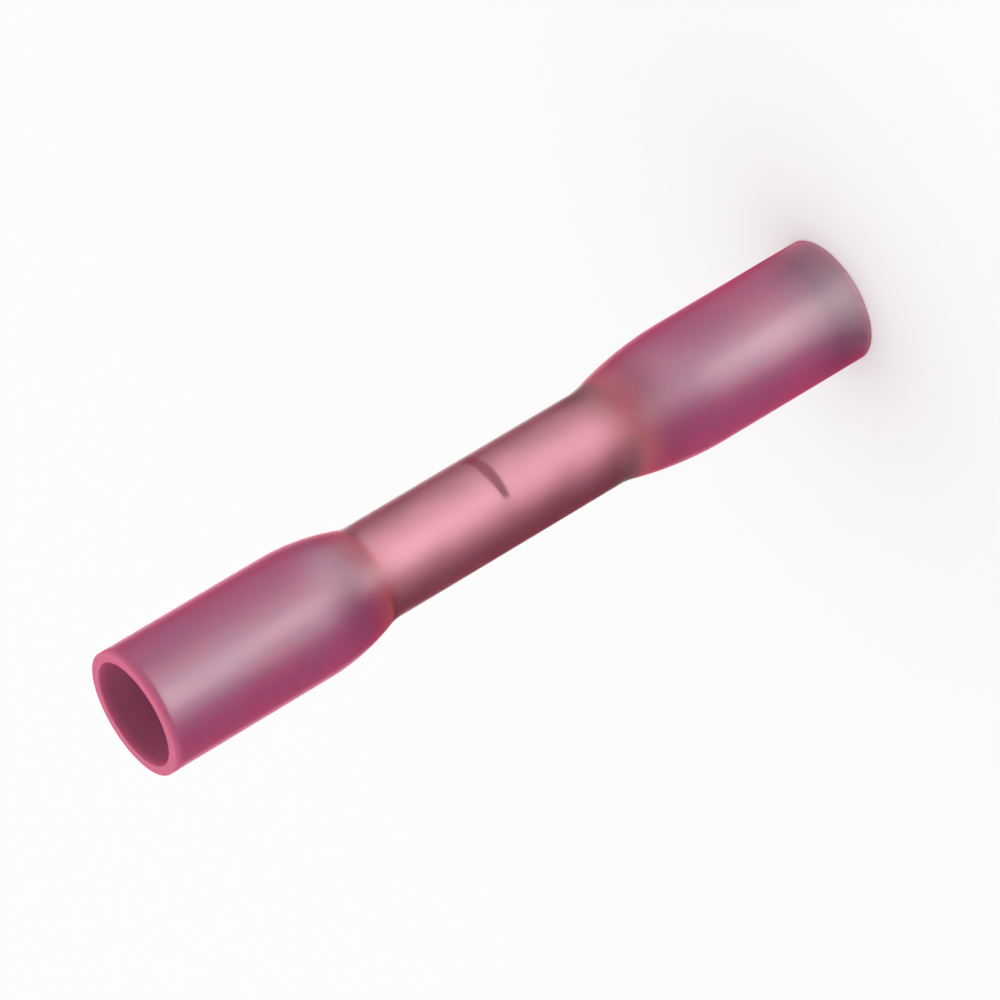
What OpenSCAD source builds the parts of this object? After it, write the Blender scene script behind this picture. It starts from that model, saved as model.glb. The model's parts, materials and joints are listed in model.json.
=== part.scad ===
// Heat-shrink butt splice: a crimp barrel with a pressed wire stop, held in a shrink sleeve.
// The splice stands on its lower mouth: +Z runs up its axis, and the dent of the wire stop faces +X.

/* [Crimp barrel] */
// Length of the crimp barrel
barrel_len = 15; // [12:0.5:18]
// Outer diameter of the crimp barrel
barrel_d = 3.3; // [3:0.1:3.8]
// Bore of the crimp barrel, which takes the bared wire
bore_d = 1.7; // [1.5:0.1:2]
// Depth of the lead-in chamfer at each wire entry
lead_in = 0.3; // [0.1:0.05:0.5]
// Radius on the outer edge at each end of the barrel
barrel_round = 0.15; // [0.05:0.05:0.25]

/* [Wire stop] */
// Depth of the dent, from the barrel's outer wall to its flat floor
stop_depth = 0.9; // [0.6:0.05:1.1]
// Nose radius of the punch that pressed the dent
punch_nose = 0.18; // [0.1:0.02:0.3]
// Draft on each flank of the punch, in degrees
punch_draft = 6; // [2:1:15]
// Metal left under the floor of the dent, which stands into the bore and stops the wire
stop_wall = 0.7; // [0.4:0.05:0.9]
// Diameter of the throat that the pressing leaves at the middle of the bore
throat_d = 1.3; // [1:0.05:1.4]
// Length of the throat
throat_len = 1; // [0.8:0.1:2]

/* [Sleeve] */
// Overall length of the sleeve
sleeve_len = 40; // [36:0.5:50]
// Outer diameter of the bell at each mouth
bell_d = 6.2; // [5.8:0.1:7.5]
// Wall of the sleeve in the bells
bell_wall = 0.5; // [0.4:0.05:0.65]
// Wall of the waist, where the sleeve has shrunk onto the barrel
waist_wall = 0.68; // [0.55:0.01:0.75]
// Radius on the cut edges of both mouths
rim_round = 0.08; // [0.02:0.01:0.15]

/* [Flares] */
// How far inside the barrel's upper end the sleeve starts to flare
upper_lap = 0.8; // [0.4:0.1:2]
// Height of the upper flare, from the waist to the bell
upper_flare = 4.4; // [3.4:0.1:7]
// How far inside the barrel's lower end the sleeve starts to flare
lower_lap = 1.5; // [0.4:0.1:2.2]
// Height of the lower flare, from the waist to the bell
lower_flare = 5.8; // [4.4:0.1:7]
// Share of a flare's bending radius in the hollow at the neck, with the rest in the round shoulder
neck_share = 0.15; // [0.1:0.01:0.3]

/* [Fit] */
// Gap left all round between the barrel and the waist of the sleeve
shrink_gap = 0.02; // [0.01:0.01:0.05]

/* [Hidden] */

$fn = 96;
// Straight steps along the long bends of a flare, and round a small edge
flare_steps = 14;
neck_steps = 5;
edge_steps = 4;
nose_steps = 12;
// How far a cutter reaches past the face that it cuts
overcut = 1;

mid_z = sleeve_len / 2;
barrel_r = barrel_d / 2;
bore_r = bore_d / 2;
throat_r = throat_d / 2;
half_barrel = barrel_len / 2;
bell_r = bell_d / 2;
mouth_r = bell_r - bell_wall;
grip_r = barrel_r + shrink_gap;
waist_r = grip_r + waist_wall;

// Points of an arc round a centre, from one angle to another, both ends included
function arc(centre, r, from, to, steps) =
    [for (i = [0 : steps])
        let (a = from + (to - from) * i / steps)
        centre + r * [cos(a), sin(a)]];

// Half profile of one flare as [radius, height] points, from the neck up to the bell: a hollow bend, then a round one.
// The two bends are tangent to each other, to the waist and to the bell.
function flare(neck_r, top_r, height) =
    let (rise = top_r - neck_r,
        lean = 2 * atan(rise / height),
        bend_sum = height / sin(lean),
        hollow_r = neck_share * bend_sum,
        round_r = bend_sum - hollow_r)
    concat(
        arc([neck_r + hollow_r, 0], hollow_r, 180, 180 - lean, neck_steps),
        arc([top_r - round_r, height], round_r, -lean * (1 - 1 / flare_steps), 0, flare_steps - 1));

// The same half profile above or below the middle, with its neck at the given height from the middle
function flare_at(profile, side, neck_z) = [for (p = profile) [p[0], mid_z + side * (neck_z + p[1])]];

function reversed(points) = [for (i = [len(points) - 1 : -1 : 0]) points[i]];

// Cut edge of a mouth, as points from the bell's outer wall round to its bore
function rim(side) =
    let (face_z = mid_z + side * sleeve_len / 2,
        edge_z = face_z - side * rim_round)
    concat(
        arc([bell_r - rim_round, edge_z], rim_round, 0, side * 90, edge_steps),
        arc([mouth_r + rim_round, edge_z], rim_round, side * 90, side * 180, edge_steps));

// Outline of the punch's blade, tip towards -X at the origin, with grow added all round
module blade_outline(grow) {
    nose_r = punch_nose + grow;
    tip = [punch_nose, 0];
    nose = arc(tip, nose_r, 90 + punch_draft, 270 - punch_draft, nose_steps);
    reach = barrel_d;
    spread = nose_r / cos(punch_draft) + reach * tan(punch_draft);
    polygon(concat(nose, [tip + [reach, -spread], tip + [reach, spread]]));
}

// The blade set across the barrel with its tip at the floor of the dent
module stop_blade(grow = 0) {
    translate([barrel_r - stop_depth, 0, mid_z])
        rotate([90, 0, 0])
            linear_extrude(height = barrel_d + 2 * overcut, center = true)
                blade_outline(grow);
}

// Outside of the barrel, with its end edges rounded
module barrel_blank() {
    rotate_extrude()
        polygon(concat(
            [[0, mid_z - half_barrel]],
            arc([barrel_r - barrel_round, mid_z - half_barrel + barrel_round], barrel_round, -90, 0, edge_steps),
            arc([barrel_r - barrel_round, mid_z + half_barrel - barrel_round], barrel_round, 0, 90, edge_steps),
            [[0, mid_z + half_barrel]]));
}

// Both wire bores, joined by the throat, with a chamfered entry at each end
module wire_bores() {
    taper = bore_r - throat_r;
    bore_start = throat_len / 2 + taper;
    bore_end = half_barrel - lead_in;
    for (side = [-1, 1])
        rotate_extrude()
            polygon([for (p = [
                [0, 0], [throat_r, 0], [throat_r, throat_len / 2], [bore_r, bore_start], [bore_r, bore_end],
                [bore_r + lead_in + overcut, half_barrel + overcut], [0, half_barrel + overcut]])
                [p[0], mid_z + side * p[1]]]);
}

// Tin-plated copper tube with a wire stop pressed into its middle
module crimp_barrel() {
    color("#b9b4b2")
        difference() {
            barrel_blank();
            stop_blade();
            difference() {
                wire_bores();
                stop_blade(grow = stop_wall);
            }
        }
}

// One shrink tube: tight on the barrel at the waist, flared to an open bell at each end
module heat_shrink_sleeve() {
    upper_out = flare_at(flare(waist_r, bell_r, upper_flare), 1, half_barrel - upper_lap);
    lower_out = flare_at(flare(waist_r, bell_r, lower_flare), -1, half_barrel - lower_lap);
    upper_in = flare_at(flare(grip_r, mouth_r, upper_flare - upper_lap), 1, half_barrel);
    lower_in = flare_at(flare(grip_r, mouth_r, lower_flare - lower_lap), -1, half_barrel);
    color("#c4607f")
        rotate_extrude()
            polygon(concat(
                upper_out, rim(1), reversed(upper_in),
                lower_in, reversed(rim(-1)), reversed(lower_out)));
}

crimp_barrel();
heat_shrink_sleeve();
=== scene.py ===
# Looks of a heat-shrink butt splice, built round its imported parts.
# It stands on its lower mouth: +Z runs up its axis, and the dent of the wire stop faces +X.
import json
import math

import bmesh
import bpy
from mathutils import Matrix, Vector


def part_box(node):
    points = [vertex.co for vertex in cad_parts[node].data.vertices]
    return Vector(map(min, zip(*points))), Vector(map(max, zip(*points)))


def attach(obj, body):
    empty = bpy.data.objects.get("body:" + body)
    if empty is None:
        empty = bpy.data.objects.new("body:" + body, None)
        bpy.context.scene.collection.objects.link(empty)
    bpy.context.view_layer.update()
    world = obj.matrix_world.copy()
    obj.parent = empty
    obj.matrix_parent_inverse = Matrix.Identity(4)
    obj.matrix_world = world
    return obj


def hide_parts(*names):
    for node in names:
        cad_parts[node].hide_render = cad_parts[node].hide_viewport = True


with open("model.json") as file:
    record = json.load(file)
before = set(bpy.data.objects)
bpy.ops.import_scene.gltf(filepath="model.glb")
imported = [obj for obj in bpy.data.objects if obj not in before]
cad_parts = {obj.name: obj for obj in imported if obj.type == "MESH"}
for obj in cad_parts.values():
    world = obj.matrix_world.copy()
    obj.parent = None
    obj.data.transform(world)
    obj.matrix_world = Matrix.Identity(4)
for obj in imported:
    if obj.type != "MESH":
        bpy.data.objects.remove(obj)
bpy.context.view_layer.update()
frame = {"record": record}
scene = bpy.context.scene
scene.view_settings.view_transform = "Standard"


# Crimp barrel
# A short length of drawn copper tube, tin plated, that is crimped onto the two bared wires.
# Its ends are tumbled and chamfered, and a blade has pressed the wire stop into its middle from one side.
MM = 0.001


def box_mm(node):
    """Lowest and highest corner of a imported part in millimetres, to four places."""
    return [[round(side / MM, 4) for side in corner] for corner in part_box(node)]


barrel_low, barrel_high = box_mm("crimp_barrel")
bore_sizes = {mount["name"]: mount["dims"] for mount in frame["record"]["mounts"]}
mid_z = (barrel_low[2] + barrel_high[2]) / 2
barrel_half = (barrel_high[2] - barrel_low[2]) / 2
barrel_r = barrel_high[0]
bore_r = bore_sizes["upper_wire_bore"]["r_mm"]
lead_in = 0.3
barrel_round = 0.15
throat_r = 0.65
throat_half = 0.5
stop_depth = 0.9
stop_floor = barrel_r - stop_depth
stop_wall = 0.7
punch_nose = 0.18
punch_draft = math.radians(6)
dent_shoulder = 0.09
edge_steps = 5
barrel_sides = 192


def arc(r, z, radius, start, end, steps):
    """Points of an arc in a half profile, both ends included, with its angles in degrees."""
    turns = [math.radians(start + (end - start) * i / steps) for i in range(steps + 1)]
    return [(r + radius * math.cos(a), z + radius * math.sin(a)) for a in turns]


def spaced(start, end, step):
    """Even steps from start up or down to end, both ends included."""
    count = max(1, round(abs(end - start) / step))
    return [start + (end - start) * i / count for i in range(count + 1)]


def turned(name, profile, sides, shape=None):
    """A piece turned from a closed half profile of (radius, height) points in millimetres."""
    made = bmesh.new()
    rings = []
    for r, z in profile:
        ring = []
        for k in range(sides):
            angle = 2 * math.pi * k / sides
            point = (r * math.cos(angle), r * math.sin(angle), z)
            if shape:
                point = shape(*point)
            ring.append(made.verts.new(Vector(point) * MM))
        rings.append(ring)
    for ring, after in zip(rings, rings[1:] + rings[:1]):
        for k in range(sides):
            following = (k + 1) % sides
            made.faces.new((ring[k], ring[following], after[following], after[k]))
    for face in made.faces:
        face.smooth = True
    bmesh.ops.recalc_face_normals(made, faces=made.faces)
    mesh = bpy.data.meshes.new(name)
    made.to_mesh(mesh)
    made.free()
    piece = bpy.data.objects.new(name, mesh)
    scene.collection.objects.link(piece)
    return piece


def blade_face(dz, grow):
    """Distance from the axis to the punch's blade at a height from the stop, with grow added all round."""
    nose = punch_nose + grow
    centre = stop_floor + punch_nose
    tangent_x = centre - nose * math.sin(punch_draft)
    tangent_z = nose * math.cos(punch_draft)
    if abs(dz) <= tangent_z:
        return centre - math.sqrt(nose * nose - dz * dz)
    return tangent_x + (abs(dz) - tangent_z) / math.tan(punch_draft)


def press_stop(x, y, z):
    """Moves a point of the barrel to where the pressing of the wire stop leaves it."""
    dz = z - mid_z
    outside = math.hypot(x, y) > (barrel_r + bore_r) / 2
    if not outside:
        return min(x, blade_face(dz, stop_wall)), y, z
    pressed = blade_face(dz, 0)
    near = max(dent_shoulder - abs(x - pressed), 0) / dent_shoulder
    return min(x, pressed) - near * near * dent_shoulder / 4, y, z


def bore_at(dz):
    """Radius of the bore at a height from the stop: it narrows to a throat where the blade pressed it in."""
    return min(bore_r, max(throat_r, throat_r + abs(dz) - throat_half))


# Heights of the rings from the middle: they lie close together at the stop, where the blade bends the wall
plain_step = 0.3
dent_reach = 0.6
dent_step = 0.015
stop_reach = 1.0
stop_step = 0.05
outer_wall = spaced(-barrel_half + barrel_round, -dent_reach, plain_step)
outer_wall += spaced(-dent_reach, dent_reach, dent_step)[1:-1]
outer_wall += spaced(dent_reach, barrel_half - barrel_round, plain_step)
inner_wall = spaced(barrel_half - lead_in, stop_reach, plain_step)
inner_wall += spaced(stop_reach, -stop_reach, stop_step)[1:-1]
inner_wall += spaced(-stop_reach, -barrel_half + lead_in, plain_step)

edge_r = barrel_r - barrel_round
edge_z = barrel_half - barrel_round
barrel_profile = arc(edge_r, mid_z - edge_z, barrel_round, -90, 0, edge_steps)
barrel_profile += [(barrel_r, mid_z + dz) for dz in outer_wall[1:-1]]
barrel_profile += arc(edge_r, mid_z + edge_z, barrel_round, 0, 90, edge_steps)
barrel_profile += [(bore_r + lead_in, mid_z + barrel_half)]
barrel_profile += [(bore_at(dz), mid_z + dz) for dz in inner_wall]
barrel_profile += [(bore_r + lead_in, mid_z - barrel_half)]
barrel = turned("splice_barrel", barrel_profile, barrel_sides, press_stop)


def linear(hex_colour):
    """A linear colour from an sRGB hex value."""
    parts = [int(hex_colour[i:i + 2], 16) / 255 for i in (1, 3, 5)]
    return [c / 12.92 if c <= 0.04045 else ((c + 0.055) / 1.055) ** 2.4 for c in parts] + [1.0]


def add(tree, kind, settings=(), stops=(), **inputs):
    """Adds a node with its settings, colour stops and inputs, by number or by name with _ for a space."""
    made = tree.nodes.new(kind)
    for key, value in dict(settings).items():
        setattr(made, key, value)
    for k, (place, colour) in enumerate(stops):
        points = made.color_ramp.elements
        point = points[k] if k < len(points) else points.new(place)
        point.position = place
        point.color = colour
    for key, value in inputs.items():
        numbered = key[0] == "i" and key[1:].isdigit()
        socket = made.inputs[int(key[1:]) if numbered else key.replace("_", " ")]
        if isinstance(value, bpy.types.NodeSocket):
            tree.links.new(value, socket)
        else:
            socket.default_value = value
    return made


def material(name):
    """A new material with an empty tree and its output node."""
    made = bpy.data.materials.new(name)
    made.use_nodes = True
    made.node_tree.nodes.clear()
    return made, made.node_tree, add(made.node_tree, "ShaderNodeOutputMaterial")


# Electroplated tin on drawn copper tube: a warm satin grey, soft clouds where the plating is thicker, and
# lines along the tube that spread its reflections into one broad pale band.
# The real lines are too fine to show, so they are drawn coarser.
line_gap = 0.12
line_stretch = 0.03
cloud_size = 1.5
line_depth = 0.01
tin, tree, out = material("tinned_copper")
place = add(tree, "ShaderNodeTexCoord").outputs["Object"]
drawn = add(tree, "ShaderNodeMapping", Vector=place, Scale=(1, 1, line_stretch)).outputs["Vector"]
lines = add(tree, "ShaderNodeTexNoise", Vector=drawn, Scale=1 / (line_gap * MM), Detail=2).outputs["Fac"]
clouds = add(tree, "ShaderNodeTexNoise", Vector=place, Scale=1 / (cloud_size * MM), Detail=3).outputs["Fac"]
satin = add(tree, "ShaderNodeMapRange", Value=lines, To_Min=0.62, To_Max=0.74).outputs["Result"]
bump = add(tree, "ShaderNodeBump", Height=lines, Strength=0.15, Distance=line_depth * MM).outputs["Normal"]
plating = add(
    tree, "ShaderNodeValToRGB", Fac=clouds,
    stops=[(0.3, linear("#b8b2ae")), (0.7, linear("#c8c2be"))]).outputs["Color"]
metal = add(
    tree, "ShaderNodeBsdfPrincipled", Base_Color=plating, Metallic=1.0, Roughness=satin, Normal=bump)
tree.links.new(metal.outputs["BSDF"], out.inputs["Surface"])
barrel.data.materials.append(tin)
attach(barrel, "root")
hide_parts("crimp_barrel")


# Heat-shrink sleeve
# One piece of translucent pink polyolefin tube, shrunk tight onto the barrel and left wide at both ends.
# The open ends make bell mouths for the wires, each with a plain square-cut rim.
sleeve_low, sleeve_high = box_mm("heat_shrink_sleeve")
sleeve_len = sleeve_high[2] - sleeve_low[2]
bell_r = sleeve_high[0]
mouth_r = bore_sizes["upper_mouth"]["r_mm"]
waist_r = 2.35
rim_round = 0.08
upper_lap = 0.8
upper_flare = 4.4
lower_lap = 1.5
lower_flare = 5.8
neck_share = 0.15
hollow_steps = 8
round_steps = 24
sleeve_sides = 160
# The shrunk wall bites a little into the barrel's surface, so that no film of air shows between the two
bite = 0.01
grip_r = barrel_r - bite


def flare(neck_r, top_r, neck_z, height, side):
    """Half profile of one flare from its neck out to the bell: a hollow bend, then a long round one."""
    lean = 2 * math.atan((top_r - neck_r) / height)
    bends = height / math.sin(lean)
    hollow = neck_share * bends
    turn = math.degrees(lean)
    points = arc(neck_r + hollow, 0, hollow, 180, 180 - turn, hollow_steps)
    points += arc(top_r - bends + hollow, height, bends - hollow, -turn, 0, round_steps)[1:]
    return [(r, mid_z + side * (neck_z + z)) for r, z in points]


def straight(r, start, end, step=0.4):
    """Points of a straight wall between two heights, both ends left out."""
    return [(r, z) for z in spaced(start, end, step)[1:-1]]


upper_out = flare(waist_r, bell_r, barrel_half - upper_lap, upper_flare, 1)
lower_out = flare(waist_r, bell_r, barrel_half - lower_lap, lower_flare, -1)
upper_in = flare(grip_r, mouth_r, barrel_half, upper_flare - upper_lap, 1)
lower_in = flare(grip_r, mouth_r, barrel_half, lower_flare - lower_lap, -1)
top_edge = sleeve_len - rim_round
skin_wall = straight(bell_r, rim_round, lower_out[-1][1]) + lower_out[::-1]
skin_wall += straight(waist_r, lower_out[0][1], upper_out[0][1])
skin_wall += upper_out + straight(bell_r, upper_out[-1][1], top_edge)
top_rim = arc(bell_r - rim_round, top_edge, rim_round, 0, 90, edge_steps)
top_rim += arc(mouth_r + rim_round, top_edge, rim_round, 90, 180, edge_steps)
bore_wall = straight(mouth_r, top_edge, upper_in[-1][1]) + upper_in[::-1]
bore_wall += straight(grip_r, upper_in[0][1], lower_in[0][1]) + lower_in
bore_wall += straight(mouth_r, lower_in[-1][1], rim_round)
low_rim = arc(mouth_r + rim_round, rim_round, rim_round, 180, 270, edge_steps)
low_rim += arc(bell_r - rim_round, rim_round, rim_round, 270, 360, edge_steps)
sleeve = turned("splice_sleeve", skin_wall + top_rim + bore_wall + low_rim, sleeve_sides)

# Each point carries a mark for the face it lies on, which the material reads: 0 on the skin, 1 in the bore,
# and values between them on the two cut rims
low_rim_mark = 0.2
top_rim_mark = 0.5
face_marks = [0.0] * len(skin_wall) + [top_rim_mark] * len(top_rim)
face_marks += [1.0] * len(bore_wall) + [low_rim_mark] * len(low_rim)
faces_in = sleeve.data.attributes.new("faces_in", "FLOAT", "POINT")
faces_in.data.foreach_set("value", [mark for mark in face_marks for k in range(sleeve_sides)])

# Cross-linked polyolefin, extruded as a tube, stretched wide, then shrunk by heat. It is milky pink to mauve
# where it is still stretched, with soft streaks along the tube. Where it has shrunk it is clear, so that the
# barrel shows through in salmon. Its skin is satin, and its edges glow pink.
# The real grain is too fine to show, so it is drawn coarser.
streak_gap = 0.3
streak_stretch = 0.06
milk_cloud = 3.0
grain_size = 0.14
grain_share = 0.8
mottle_mean = 1 + grain_share / 2
mottle_spread = 0.25
grain_depth = 0.01
milk_depth = 0.3
satin_shrunk = 0.36
satin_bore = 0.9
clear_bore = 0.05
gloss_bore = 0.1
glow_stretched = 0.9
# Each row is a height up the sleeve in millimetres, with what the wall has there.
# Skin: colour, and its share over the streaked milky body
skin_zones = [
    # The lowest rows are painted light: the light grey at the very rim is a painted highlight, and the dark
    # grey-violet band up to about 4 mm is painted shade.
    (0.0, "#a898a8", 0.9), (0.35, "#685472", 0.72), (1.8, "#5c466e", 0.64), (4.4, "#c468a6", 0.0),
    # About each neck the colours are partly painted light on the sleeve's own pink: the pale salmon is a
    # painted glow of the lit barrel seen through the wall, and the deeper pink ring is painted shade of the
    # hollow bend.
    (10.4, "#c4608c", 0.0), (11.6, "#cc6c98", 0.7), (12.3, "#e48ca8", 0.9), (12.9, "#ffa8b8", 1.0),
    (13.5, "#ffc4cc", 1.0), (14.4, "#ffffff", 1.0), (27.0, "#ffffff", 1.0), (27.35, "#f4a4b0", 1.0),
    # The darker mauve over the upper flare is painted shade.
    (27.7, "#e08096", 0.95), (28.4, "#cc6490", 0.85), (29.3, "#a45c90", 0.5), (31.0, "#b4689e", 0.0)]
# Bore: colour, which is deeper where it bridges the dent of the wire stop, as painted shade in the dent
bore_zones = [
    (10.5, "#b8708e"), (12.0, "#f0acb4"), (18.6, "#f0acb4"), (19.0, "#cc6c84"), (21.0, "#cc6c84"),
    (21.4, "#e8a4ac"), (27.5, "#e8a4ac"), (28.2, "#d890a0"), (29.4, "#b87094"), (33.0, "#b86e90")]
# Share of the light that goes straight through
clear_zones = [
    (10.5, 0.46), (12.2, 0.56), (13.0, 0.68), (13.7, 0.88), (14.5, 1.0), (27.3, 1.0), (27.6, 0.6),
    (29.5, 0.46)]
# Level of gloss
gloss_zones = [
    (0.0, 0.6), (0.35, 0.33), (2.0, 0.45), (5.0, 1.0), (12.8, 0.9), (13.8, 0.3), (27.0, 0.3), (27.8, 0.8),
    (29.5, 1.0)]
# How far from the waist's middle the wall is shrunk tight, and from where on it is still stretched
waist_mid = 20.3
shrunk_reach = 7.0
stretched_from = 7.3
pink, tree, out = material("pink_polyolefin")
place = add(tree, "ShaderNodeTexCoord").outputs["Object"]
height = add(tree, "ShaderNodeSeparateXYZ", Vector=place).outputs["Z"]
along = add(tree, "ShaderNodeMapRange", Value=height, From_Max=sleeve_len * MM).outputs["Result"]
away = add(tree, "ShaderNodeMath", {"operation": "SUBTRACT"}, i0=height, i1=waist_mid * MM).outputs["Value"]
away = add(tree, "ShaderNodeMath", {"operation": "ABSOLUTE"}, i0=away).outputs["Value"]
stretched = add(
    tree, "ShaderNodeMapRange", {"interpolation_type": "SMOOTHSTEP"}, Value=away,
    From_Min=shrunk_reach * MM, From_Max=stretched_from * MM).outputs["Result"]
drawn = add(tree, "ShaderNodeMapping", Vector=place, Scale=(1, 1, streak_stretch)).outputs["Vector"]
streaks = add(tree, "ShaderNodeTexNoise", Vector=drawn, Scale=1 / (streak_gap * MM), Detail=2).outputs["Fac"]
clouds = add(tree, "ShaderNodeTexNoise", Vector=place, Scale=1 / (milk_cloud * MM), Detail=2).outputs["Fac"]
grain = add(tree, "ShaderNodeTexNoise", Vector=place, Scale=1 / (grain_size * MM), Detail=2).outputs["Fac"]
mottle = add(tree, "ShaderNodeMath", {"operation": "ADD"}, i0=streaks, i1=clouds).outputs["Value"]
mottle = add(
    tree, "ShaderNodeMath", {"operation": "MULTIPLY_ADD"},
    i0=grain, i1=grain_share, i2=mottle).outputs["Value"]
mottle = add(
    tree, "ShaderNodeMapRange", Value=mottle,
    From_Min=mottle_mean - mottle_spread, From_Max=mottle_mean + mottle_spread).outputs["Result"]
milk = add(
    tree, "ShaderNodeMix", {"data_type": "RGBA"},
    i0=mottle, i6=linear("#e46ea7"), i7=linear("#d576b0")).outputs[2]
zones = add(
    tree, "ShaderNodeValToRGB", Fac=along,
    stops=[(z / sleeve_len, linear(shade)[:3] + [share]) for z, shade, share in skin_zones])
outside = add(
    tree, "ShaderNodeMix", {"data_type": "RGBA"},
    i0=zones.outputs["Alpha"], i6=milk, i7=zones.outputs["Color"]).outputs[2]
bore = add(
    tree, "ShaderNodeValToRGB", Fac=along,
    stops=[(z / sleeve_len, linear(shade)) for z, shade in bore_zones]).outputs["Color"]
side = add(tree, "ShaderNodeAttribute", {"attribute_name": "faces_in"}).outputs["Fac"]
cut = add(tree, "ShaderNodeMapRange", Value=side, From_Max=top_rim_mark).outputs["Result"]
inner = add(tree, "ShaderNodeMapRange", Value=side, From_Min=top_rim_mark).outputs["Result"]
# The cut rims take a brighter pink than the skin: the pink is the sleeve's own, and its extra brightness is
# a painted glow of light led along the wall to the cut.
within = add(
    tree, "ShaderNodeMix", {"data_type": "RGBA"},
    i0=inner, i6=linear("#dc7c9c"), i7=bore).outputs[2]
colour = add(tree, "ShaderNodeMix", {"data_type": "RGBA"}, i0=cut, i6=outside, i7=within).outputs[2]
clear = add(
    tree, "ShaderNodeValToRGB", Fac=along,
    stops=[(z / sleeve_len, (share, share, share, 1)) for z, share in clear_zones]).outputs["Color"]
clear = add(tree, "ShaderNodeMix", i0=cut, i2=clear, i3=clear_bore).outputs[0]
gloss = add(
    tree, "ShaderNodeValToRGB", Fac=along,
    stops=[(z / sleeve_len, (level, level, level, 1)) for z, level in gloss_zones]).outputs["Color"]
gloss = add(tree, "ShaderNodeMix", i0=cut, i2=gloss, i3=gloss_bore).outputs[0]
edge_glow = add(tree, "ShaderNodeMapRange", Value=stretched, To_Max=glow_stretched).outputs["Result"]
satin = add(
    tree, "ShaderNodeMapRange", Value=streaks, From_Min=0.3, From_Max=0.7,
    To_Min=0.32, To_Max=0.37).outputs["Result"]
satin = add(tree, "ShaderNodeMix", i0=stretched, i2=satin_shrunk, i3=satin).outputs[0]
satin = add(tree, "ShaderNodeMix", i0=cut, i2=satin, i3=satin_bore).outputs[0]
bump = add(tree, "ShaderNodeBump", Height=grain, Strength=0.16, Distance=grain_depth * MM).outputs["Normal"]
skin = add(
    tree, "ShaderNodeBsdfPrincipled", Base_Color=colour, Roughness=satin, IOR=1.49,
    Specular_IOR_Level=gloss, Transmission_Weight=clear, Normal=bump,
    Subsurface_Weight=1.0, Subsurface_Radius=(1.0, 0.35, 0.5), Subsurface_Scale=milk_depth * MM,
    Sheen_Weight=edge_glow, Sheen_Roughness=0.5, Sheen_Tint=linear("#ff4c78"))
# The pink dye takes nearly half of the green light in each millimetre of wall, and least of the red
dye = add(tree, "ShaderNodeVolumeAbsorption", Color=linear("#f00091"), Density=0.64 / MM)
tree.links.new(skin.outputs["BSDF"], out.inputs["Surface"])
tree.links.new(dye.outputs["Volume"], out.inputs["Volume"])
sleeve.data.materials.append(pink)
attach(sleeve, "root")
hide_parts("heat_shrink_sleeve")


# Floor and studio light
# A table of matt white paper under an even dome of light that is brighter overhead.
# Flat reflector cards lie round the splice and show only as gloss: they draw the pale band along it.
floor_half = 2000
paper_lift = 0.16
floor_corners = [Vector((x, y, 0)) * floor_half * MM for x, y in ((-1, -1), (1, -1), (1, 1), (-1, 1))]
floor_mesh = bpy.data.meshes.new("table")
floor_mesh.from_pydata(floor_corners, [], [(0, 1, 2, 3)])
table = bpy.data.objects.new("table", floor_mesh)
scene.collection.objects.link(table)

# Matt paper: plain white with no shine. The lift brings it up to white for the camera and in what mirrors it
# or shows it through, and adds no light to the splice.
paper, tree, out = material("matt_white_paper")
rays = add(tree, "ShaderNodeLightPath").outputs
shown = add(
    tree, "ShaderNodeMath", {"operation": "MAXIMUM"},
    i0=rays["Is Camera Ray"], i1=rays["Is Glossy Ray"]).outputs["Value"]
shown = add(
    tree, "ShaderNodeMath", {"operation": "MAXIMUM"},
    i0=shown, i1=rays["Is Transmission Ray"]).outputs["Value"]
lift = add(tree, "ShaderNodeMath", {"operation": "MULTIPLY"}, i0=shown, i1=paper_lift).outputs["Value"]
sheet = add(
    tree, "ShaderNodeBsdfPrincipled", Base_Color=linear("#f4f4f4"), Roughness=0.9, Specular_IOR_Level=0.0,
    Emission_Color=linear("#ffffff"), Emission_Strength=lift)
tree.links.new(sheet.outputs["BSDF"], out.inputs["Surface"])
floor_mesh.materials.append(paper)

dome_low = 0.3
dome_top = 1.3
world = bpy.data.worlds.new("studio")
scene.world = world
world.use_nodes = True
tree = world.node_tree
tree.nodes.clear()
way = add(tree, "ShaderNodeTexCoord").outputs["Generated"]
height = add(tree, "ShaderNodeSeparateXYZ", Vector=way).outputs["Z"]
level = add(
    tree, "ShaderNodeMapRange", {"interpolation_type": "SMOOTHSTEP"}, Value=height,
    From_Min=0.2, From_Max=0.6, To_Min=dome_low, To_Max=dome_top).outputs["Result"]
dome = add(tree, "ShaderNodeBackground", Strength=level)
tree.links.new(dome.outputs["Background"], add(tree, "ShaderNodeOutputWorld").inputs["Surface"])

# The cards' bright lobes face the camera's direction round the splice, with a slight turn
azimuth = math.radians(34.0)
lobe_turn = math.radians(7)
card_turn = azimuth - math.pi / 2 - lobe_turn
card_height = 0.02
card_sides = 72


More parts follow.
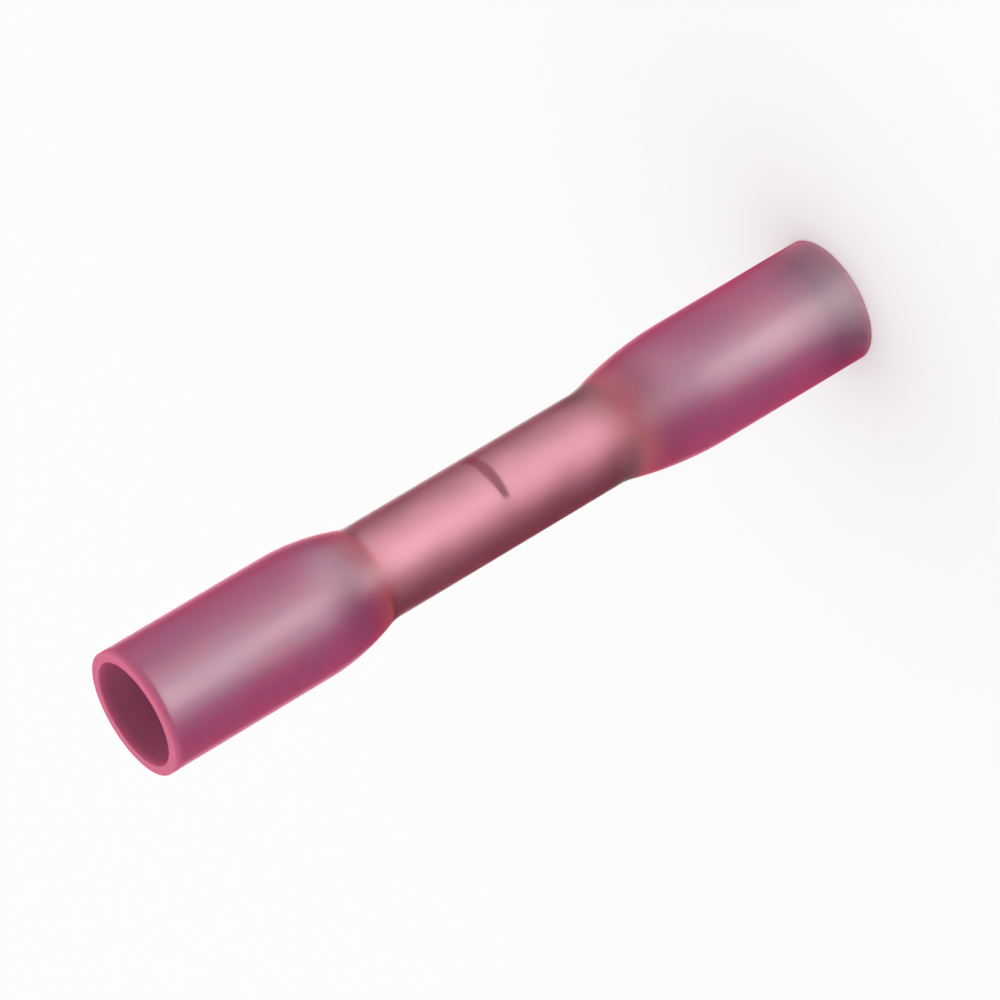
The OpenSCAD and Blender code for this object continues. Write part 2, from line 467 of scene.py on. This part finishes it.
def light_card(name, near, far, fan, power):
    """A flat ring of card round the splice, lit by a fan of levels, that shows only as gloss."""
    points = []
    faces = []
    for k in range(card_sides):
        angle = 2 * math.pi * k / card_sides
        for reach in (near, far):
            points.append(Vector((reach * math.cos(angle), reach * math.sin(angle), card_height)) * MM)
        ends = [2 * k, 2 * k + 1, 2 * k + 3, 2 * k + 2]
        faces.append([end % (2 * card_sides) for end in ends])
    mesh = bpy.data.meshes.new(name)
    mesh.from_pydata(points, [], faces)
    made = bpy.data.objects.new(name, mesh)
    made.rotation_euler = (0, 0, card_turn)
    scene.collection.objects.link(made)
    lit, tree, out = material(name)
    spot = add(tree, "ShaderNodeTexCoord").outputs["Object"]
    round_about = add(tree, "ShaderNodeTexGradient", {"gradient_type": "RADIAL"}, Vector=spot).outputs["Fac"]
    levels = add(
        tree, "ShaderNodeValToRGB", Fac=round_about,
        stops=[(turn, (level, level, level, 1)) for turn, level in fan]).outputs["Color"]
    light = add(tree, "ShaderNodeEmission", Strength=power, Color=levels).outputs["Emission"]
    rays = add(tree, "ShaderNodeLightPath").outputs
    mirrored = add(
        tree, "ShaderNodeMath", {"operation": "MINIMUM"}, i0=rays["Glossy Depth"], i1=1.0).outputs["Value"]
    mirrored = add(
        tree, "ShaderNodeMath", {"operation": "SUBTRACT", "use_clamp": True},
        i0=mirrored, i1=rays["Diffuse Depth"]).outputs["Value"]
    empty = add(tree, "ShaderNodeBsdfTransparent").outputs["BSDF"]
    seen = add(tree, "ShaderNodeMixShader", Fac=mirrored, i1=empty, i2=light).outputs["Shader"]
    tree.links.new(seen, out.inputs["Surface"])
    mesh.materials.append(lit)
    made.visible_camera = False
    made.visible_diffuse = False
    made.visible_shadow = False


# Level of light by the share of a full turn round the splice, from behind it to the front and on to the back
bell_fan = [
    (0.0, 0.5), (0.07, 0.2), (0.13, 0.0), (0.28, 0.0), (0.37, 0.1), (0.45, 0.64), (0.515, 1.0), (0.59, 0.5),
    (0.7, 0.17), (0.86, 0.0), (0.9, 0.0), (0.96, 0.2), (1.0, 0.5)]
waist_fan = [
    (0.0, 0.6), (0.05, 0.15), (0.1, 0.0), (0.4, 0.0), (0.47, 0.2), (0.53, 0.78), (0.58, 0.95), (0.66, 0.97),
    (0.73, 0.6), (0.8, 0.2), (0.86, 0.0), (0.9, 0.05), (0.95, 0.3), (1.0, 0.6)]
# Reach of the cards from the axis, in millimetres: the lower bell mirrors the near card, its flare the next
# one, the waist the middle one, and the upper bell the far one
cards_start = 3.12
flare_near = 17
waist_near = 31
waist_far = 62
cards_end = 300
bell_power = 10.9
waist_power = 6.4
light_card("near_card", cards_start, flare_near, bell_fan, bell_power)
light_card("flare_card", flare_near, waist_near, bell_fan, bell_power)
light_card("middle_card", waist_near, waist_far, waist_fan, waist_power)
light_card("far_card", waist_far, cards_end, bell_fan, bell_power)


# Camera
# It looks at the photograph's angle, rolled so that the splice lies across the frame.
elevation = math.radians(23.79)
roll = math.radians(120.83)
distance = 310.15
focal_pixels = 6862.7
image_pixels = 1000
sensor = 36
eye = bpy.data.cameras.new("camera")
eye.sensor_width = sensor
eye.lens = sensor * focal_pixels / image_pixels
eye.shift_x = 0.01011
eye.shift_y = 0.00181
middle = Vector((0, 0, mid_z))
right = Vector((math.cos(azimuth), math.sin(azimuth), 0))
ahead = Vector((-math.sin(azimuth), math.cos(azimuth), 0))
back = Vector((0, 0, math.sin(elevation))) - ahead * math.cos(elevation)
up = back.cross(right)
turned_right = right * math.cos(roll) - up * math.sin(roll)
turned_up = right * math.sin(roll) + up * math.cos(roll)
axes = Matrix((turned_right, turned_up, back)).transposed().to_4x4()
camera = bpy.data.objects.new("camera", eye)
camera.matrix_world = Matrix.Translation((middle + back * distance) * MM) @ axes
scene.collection.objects.link(camera)
scene.camera = camera
